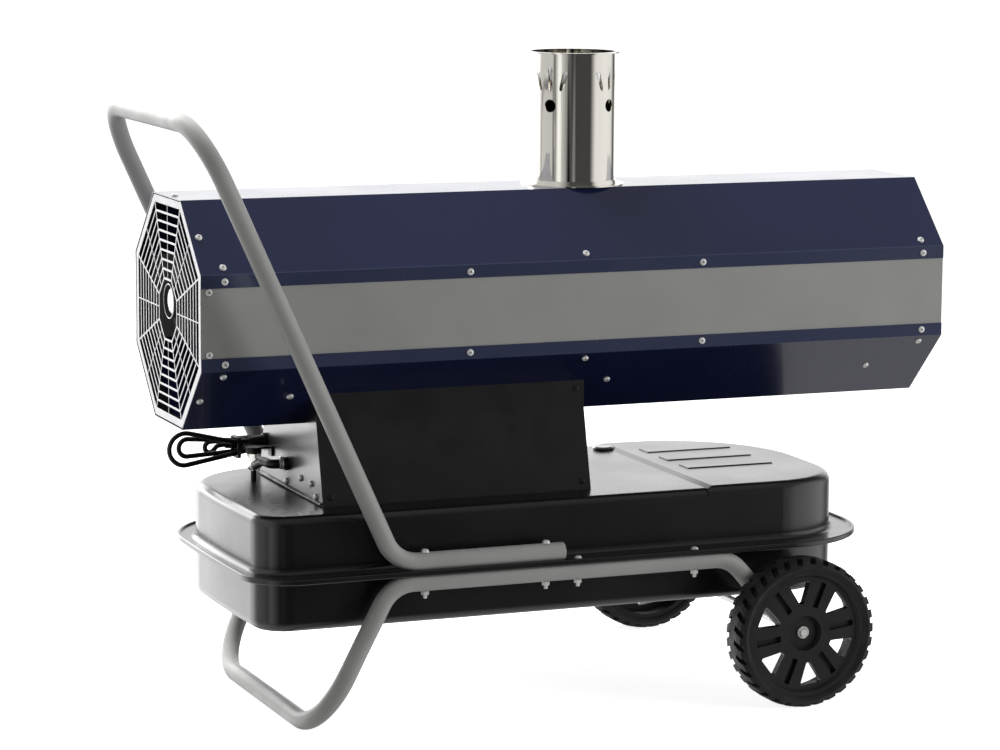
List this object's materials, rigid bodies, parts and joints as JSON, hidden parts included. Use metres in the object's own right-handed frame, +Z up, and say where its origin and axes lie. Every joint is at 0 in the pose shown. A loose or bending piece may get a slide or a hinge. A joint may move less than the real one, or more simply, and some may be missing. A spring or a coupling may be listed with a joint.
{
  "type": "indirect-fired diesel heater",
  "caption": "Wheeled indirect-fired oil heater: octagonal steel casing with fan guard, hot-air outlet and flue, over a burner housing and pressed fuel tank on bent tube frames.",
  "frame": {"origin": "on the floor, under the middle of the heater's length and width, the mains lead left out", "axes": "+X towards the hot-air outlet, -Y the side without controls, +Z up"},
  "size_m": [1.1425, 0.58, 0.901],
  "materials": {
    "casing_blue": "gloss enamel",
    "panel_grey": "satin paint",
    "screw_zinc": "zinc plated",
    "guard_white": "powder coat",
    "inner_steel": "mill finish",
    "heat_steel": "heat-resisting sheet",
    "motor_alloy": "cast",
    "motor_paint": "satin",
    "fuel_brass": "turned",
    "ceramic_white": "glazed insulator",
    "flue_steel": "bright stainless",
    "housing_black": "satin powder coat",
    "control_plastic": "moulded",
    "reset_red": "moulded",
    "lamp_amber": "clear moulded",
    "pump_alloy": "die cast",
    "tank_black": "gloss enamel",
    "cap_plastic": "moulded",
    "tube_grey": "satin powder coat",
    "rim_black": "moulded",
    "tyre_black": "moulded rubber",
    "bowl_clear": "clear moulded",
    "hose_black": "smooth",
    "cord_black": "smooth"
  },
  "bodies": {
    "heater": {"casing_upper_shell": "casing_blue", "casing_lower_shell": "casing_blue", "side_panel_near": "panel_grey", "side_panel_far": "panel_grey", "outlet_ring": "panel_grey", "casing_screws": "screw_zinc", "frame_bolts": "screw_zinc", "frame_nuts": "screw_zinc", "axle": "screw_zinc", "axle_washers": "screw_zinc", "axle_push_nuts": "screw_zinc", "fan_guard": "guard_white", "motor_bracket": "inner_steel", "burner_tube": "inner_steel", "diffuser_disc": "inner_steel", "exchanger_saddles": "inner_steel", "combustion_chamber": "heat_steel", "heat_exchanger": "heat_steel", "motor_end_cap": "motor_alloy", "fan_motor": "motor_paint", "ignition_transformer": "motor_paint", "nozzle_holder": "fuel_brass", "hose_gland": "fuel_brass", "drain_plug": "fuel_brass", "electrodes": "ceramic_white", "flue_pipe": "flue_steel", "flue_collar": "flue_steel", "housing_base": "housing_black", "housing_end_inlet": "housing_black", "housing_end_outlet": "housing_black", "housing_cover_near": "housing_black", "control_panel": "housing_black", "housing_screws": "housing_black", "thermostat_socket": "control_plastic", "control_box": "control_plastic", "indicator_lamp": "lamp_amber", "fuel_pump": "pump_alloy", "fuel_filter_head": "pump_alloy", "tank_upper": "tank_black", "tank_lower": "tank_black", "filler_neck": "cap_plastic", "fuel_gauge": "cap_plastic", "handle_frame": "tube_grey", "lower_frame": "tube_grey", "fuel_filter_bowl": "bowl_clear", "fuel_hose": "hose_black", "cord_gland": "hose_black", "cord_lead": "cord_black", "cord_hank": "cord_black", "plug": "cord_black", "cable_tie": "cord_black"},
    "wheel_near": {"wheel_near_rim": "rim_black", "wheel_near_tyre": "tyre_black"},
    "wheel_far": {"wheel_far_rim": "rim_black", "wheel_far_tyre": "tyre_black"},
    "fan": {"fan_rotor": "motor_alloy", "motor_shaft": "inner_steel"},
    "switch": {"switch_knob": "control_plastic"},
    "reset": {"reset_button": "reset_red"},
    "cap": {"fuel_cap": "cap_plastic"}
  },
  "joints": [
    {"name": "wheel_near_spin", "type": "hinge", "parent": "heater", "child": "wheel_near", "pos_m": [0.29675, -0.265, 0.105], "axis": [0, 1, 0], "continuous": true},
    {"name": "wheel_far_spin", "type": "hinge", "parent": "heater", "child": "wheel_far", "pos_m": [0.29675, 0.265, 0.105], "axis": [0, 1, 0], "continuous": true},
    {"name": "fan_spin", "type": "hinge", "parent": "heater", "child": "fan", "pos_m": [-0.35675, 0, 0.5715], "axis": [1, 0, 0], "continuous": true},
    {"name": "switch_turn", "type": "hinge", "parent": "heater", "child": "switch", "pos_m": [-0.27175, 0.12327, 0.3611], "axis": [0, 0.9694, 0.2456], "range_deg": [-45, 45]},
    {"name": "reset_press", "type": "slide", "parent": "heater", "child": "reset", "axis": [0, -0.9694, -0.2456], "range_m": [0, 0.003], "stiffness_N_per_m": 400, "springref_m": -0.002},
    {"name": "cap_turn", "type": "hinge", "parent": "heater", "child": "cap", "pos_m": [0.07825, 0.142, 0.311], "axis": [0, 0, 1], "range_deg": [0, 90]}
  ]
}
